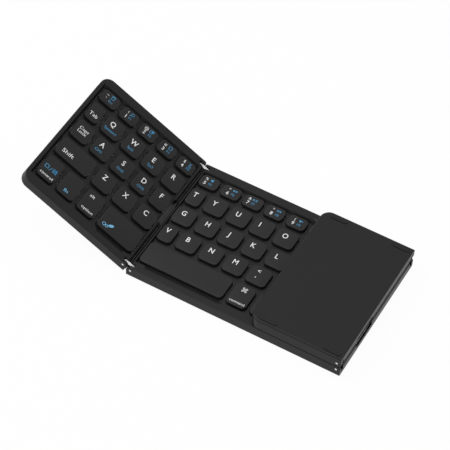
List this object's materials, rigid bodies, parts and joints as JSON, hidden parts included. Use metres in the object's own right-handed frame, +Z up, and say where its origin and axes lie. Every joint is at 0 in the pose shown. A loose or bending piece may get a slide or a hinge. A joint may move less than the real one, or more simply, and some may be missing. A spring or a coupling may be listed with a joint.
{
  "type": "folding keyboard",
  "caption": "Pocket keyboard in three hinged panels, two with keys and one with a touchpad, that fold onto each other.",
  "frame": {"origin": "centre of the resting part's box, on the table under the feet", "axes": "+X along the row of panels towards the folded touchpad panel, +Y from the space bars towards the number keys, +Z up"},
  "size_m": [0.2248, 0.098, 0.0487],
  "materials": {
    "battery_pouch": "laminate pouch",
    "block_aluminium": "die cast",
    "circuit_board": "solder mask",
    "cover_plastic": "satin",
    "dome_rubber": "soft, translucent white",
    "foot_rubber": "matt",
    "frame_plastic": "satin",
    "indicator_lens": "dark clear lens",
    "key_plastic": "fine matt grain",
    "link_metal": "fine satin",
    "membrane_film": "printed film",
    "pin_steel": "ground",
    "plate_steel": "stamped",
    "ribbon_film": "black film",
    "scissor_plastic": "moulded",
    "screw_steel": "zinc plated",
    "socket_steel": "plated",
    "strip_film": "black film",
    "touchpad_surface": "fine matt"
  },
  "bodies": {
    "middle_panel": {"middle_bottom_cover": "cover_plastic", "middle_top_frame": "frame_plastic", "middle_support_plate": "plate_steel", "middle_membrane": "membrane_film", "middle_rubber_domes": "dome_rubber", "middle_scissor_frames": "scissor_plastic", "circuit_board": "circuit_board", "battery": "battery_pouch", "charging_socket": "socket_steel", "indicator_lens": "indicator_lens", "middle_feet": "foot_rubber", "middle_screws": "screw_steel", "middle_hinge_blocks": "block_aluminium", "middle_hinge_pins": "pin_steel"},
    "left_panel": {"left_bottom_cover": "cover_plastic", "left_top_frame": "frame_plastic", "left_support_plate": "plate_steel", "left_membrane": "membrane_film", "left_rubber_domes": "dome_rubber", "left_scissor_frames": "scissor_plastic", "left_feet": "foot_rubber", "left_screws": "screw_steel", "left_hinge_blocks": "block_aluminium", "left_hinge_pins": "pin_steel"},
    "right_panel": {"right_bottom_cover": "cover_plastic", "right_top_frame": "frame_plastic", "touchpad_plate": "touchpad_surface", "touchpad_board": "circuit_board", "right_feet": "foot_rubber", "right_screws": "screw_steel", "right_hinge_blocks": "block_aluminium", "right_hinge_pins": "pin_steel"},
    "left_links": {"left_hinge_links": "link_metal", "left_hinge_strip": "strip_film", "left_ribbon_cable": "ribbon_film"},
    "right_links": {"right_hinge_links": "link_metal", "right_hinge_strip": "strip_film", "right_ribbon_cable": "ribbon_film"},
    "left_space_key": {"left_space_key": "key_plastic"},
    "left_option_key": {"left_option_key": "key_plastic"},
    "fn_key": {"fn_key": "key_plastic"},
    "control_key": {"control_key": "key_plastic"},
    "lower_left_letter_keys": {"lower_left_letter_keys": "key_plastic"},
    "left_shift_key": {"left_shift_key": "key_plastic"},
    "home_left_letter_keys": {"home_left_letter_keys": "key_plastic"},
    "caps_lock_key": {"caps_lock_key": "key_plastic"},
    "upper_left_letter_keys": {"upper_left_letter_keys": "key_plastic"},
    "tab_key": {"tab_key": "key_plastic"},
    "left_number_keys": {"left_number_keys": "key_plastic"},
    "space_bar": {"space_bar": "key_plastic"},
    "command_key": {"command_key": "key_plastic"},
    "right_option_key": {"right_option_key": "key_plastic"},
    "arrow_keys": {"arrow_keys": "key_plastic"},
    "lower_right_letter_keys": {"lower_right_letter_keys": "key_plastic"},
    "right_shift_key": {"right_shift_key": "key_plastic"},
    "home_right_letter_keys": {"home_right_letter_keys": "key_plastic"},
    "enter_key": {"enter_key": "key_plastic"},
    "upper_right_letter_keys": {"upper_right_letter_keys": "key_plastic"},
    "right_number_keys": {"right_number_keys": "key_plastic"},
    "backspace_key": {"backspace_key": "key_plastic"}
  },
  "joints": [
    {"name": "left_link_hinge", "type": "hinge", "parent": "middle_panel", "child": "left_links", "pos_m": [-0.03238, 0, 0.00555], "axis": [0, 1, 0], "range_deg": [-27.6, 62.4]},
    {"name": "left_panel_hinge", "type": "hinge", "parent": "left_links", "child": "left_panel", "pos_m": [-0.03769, 0, 0.00833], "axis": [0, 1, 0], "range_deg": [0, 90]},
    {"name": "right_link_hinge", "type": "hinge", "parent": "middle_panel", "child": "right_links", "pos_m": [0.10962, 0, 0.00555], "axis": [0, 1, 0], "range_deg": [0, 90]},
    {"name": "right_panel_hinge", "type": "hinge", "parent": "right_links", "child": "right_panel", "pos_m": [0.10962, 0, 0.01155], "axis": [0, 1, 0], "range_deg": [0, 90]},
    {"name": "left_space_key_travel", "type": "slide", "parent": "left_panel", "child": "left_space_key", "axis": [-0.4633, 0, -0.8862], "range_m": [0, 0.0012], "stiffness_N_per_m": 300, "springref_m": -0.0006},
    {"name": "left_option_key_travel", "type": "slide", "parent": "left_panel", "child": "left_option_key", "axis": [-0.4633, 0, -0.8862], "range_m": [0, 0.0012], "stiffness_N_per_m": 300, "springref_m": -0.0006},
    {"name": "fn_key_travel", "type": "slide", "parent": "left_panel", "child": "fn_key", "axis": [-0.4633, 0, -0.8862], "range_m": [0, 0.0012], "stiffness_N_per_m": 300, "springref_m": -0.0006},
    {"name": "control_key_travel", "type": "slide", "parent": "left_panel", "child": "control_key", "axis": [-0.4633, 0, -0.8862], "range_m": [0, 0.0012], "stiffness_N_per_m": 300, "springref_m": -0.0006},
    {"name": "lower_left_letter_keys_travel", "type": "slide", "parent": "left_panel", "child": "lower_left_letter_keys", "axis": [-0.4633, 0, -0.8862], "range_m": [0, 0.0012], "stiffness_N_per_m": 300, "springref_m": -0.0006},
    {"name": "left_shift_key_travel", "type": "slide", "parent": "left_panel", "child": "left_shift_key", "axis": [-0.4633, 0, -0.8862], "range_m": [0, 0.0012], "stiffness_N_per_m": 300, "springref_m": -0.0006},
    {"name": "home_left_letter_keys_travel", "type": "slide", "parent": "left_panel", "child": "home_left_letter_keys", "axis": [-0.4633, 0, -0.8862], "range_m": [0, 0.0012], "stiffness_N_per_m": 300, "springref_m": -0.0006},
    {"name": "caps_lock_key_travel", "type": "slide", "parent": "left_panel", "child": "caps_lock_key", "axis": [-0.4633, 0, -0.8862], "range_m": [0, 0.0012], "stiffness_N_per_m": 300, "springref_m": -0.0006},
    {"name": "upper_left_letter_keys_travel", "type": "slide", "parent": "left_panel", "child": "upper_left_letter_keys", "axis": [-0.4633, 0, -0.8862], "range_m": [0, 0.0012], "stiffness_N_per_m": 300, "springref_m": -0.0006},
    {"name": "tab_key_travel", "type": "slide", "parent": "left_panel", "child": "tab_key", "axis": [-0.4633, 0, -0.8862], "range_m": [0, 0.0012], "stiffness_N_per_m": 300, "springref_m": -0.0006},
    {"name": "left_number_keys_travel", "type": "slide", "parent": "left_panel", "child": "left_number_keys", "axis": [-0.4633, 0, -0.8862], "range_m": [0, 0.0012], "stiffness_N_per_m": 300, "springref_m": -0.0006},
    {"name": "space_bar_travel", "type": "slide", "parent": "middle_panel", "child": "space_bar", "axis": [0, 0, -1], "range_m": [0, 0.0012], "stiffness_N_per_m": 300, "springref_m": -0.0006},
    {"name": "command_key_travel", "type": "slide", "parent": "middle_panel", "child": "command_key", "axis": [0, 0, -1], "range_m": [0, 0.0012], "stiffness_N_per_m": 300, "springref_m": -0.0006},
    {"name": "right_option_key_travel", "type": "slide", "parent": "middle_panel", "child": "right_option_key", "axis": [0, 0, -1], "range_m": [0, 0.0012], "stiffness_N_per_m": 300, "springref_m": -0.0006},
    {"name": "arrow_keys_travel", "type": "slide", "parent": "middle_panel", "child": "arrow_keys", "axis": [0, 0, -1], "range_m": [0, 0.0012], "stiffness_N_per_m": 300, "springref_m": -0.0006},
    {"name": "lower_right_letter_keys_travel", "type": "slide", "parent": "middle_panel", "child": "lower_right_letter_keys", "axis": [0, 0, -1], "range_m": [0, 0.0012], "stiffness_N_per_m": 300, "springref_m": -0.0006},
    {"name": "right_shift_key_travel", "type": "slide", "parent": "middle_panel", "child": "right_shift_key", "axis": [0, 0, -1], "range_m": [0, 0.0012], "stiffness_N_per_m": 300, "springref_m": -0.0006},
    {"name": "home_right_letter_keys_travel", "type": "slide", "parent": "middle_panel", "child": "home_right_letter_keys", "axis": [0, 0, -1], "range_m": [0, 0.0012], "stiffness_N_per_m": 300, "springref_m": -0.0006},
    {"name": "enter_key_travel", "type": "slide", "parent": "middle_panel", "child": "enter_key", "axis": [0, 0, -1], "range_m": [0, 0.0012], "stiffness_N_per_m": 300, "springref_m": -0.0006},
    {"name": "upper_right_letter_keys_travel", "type": "slide", "parent": "middle_panel", "child": "upper_right_letter_keys", "axis": [0, 0, -1], "range_m": [0, 0.0012], "stiffness_N_per_m": 300, "springref_m": -0.0006},
    {"name": "right_number_keys_travel", "type": "slide", "parent": "middle_panel", "child": "right_number_keys", "axis": [0, 0, -1], "range_m": [0, 0.0012], "stiffness_N_per_m": 300, "springref_m": -0.0006},
    {"name": "backspace_key_travel", "type": "slide", "parent": "middle_panel", "child": "backspace_key", "axis": [0, 0, -1], "range_m": [0, 0.0012], "stiffness_N_per_m": 300, "springref_m": -0.0006}
  ]
}
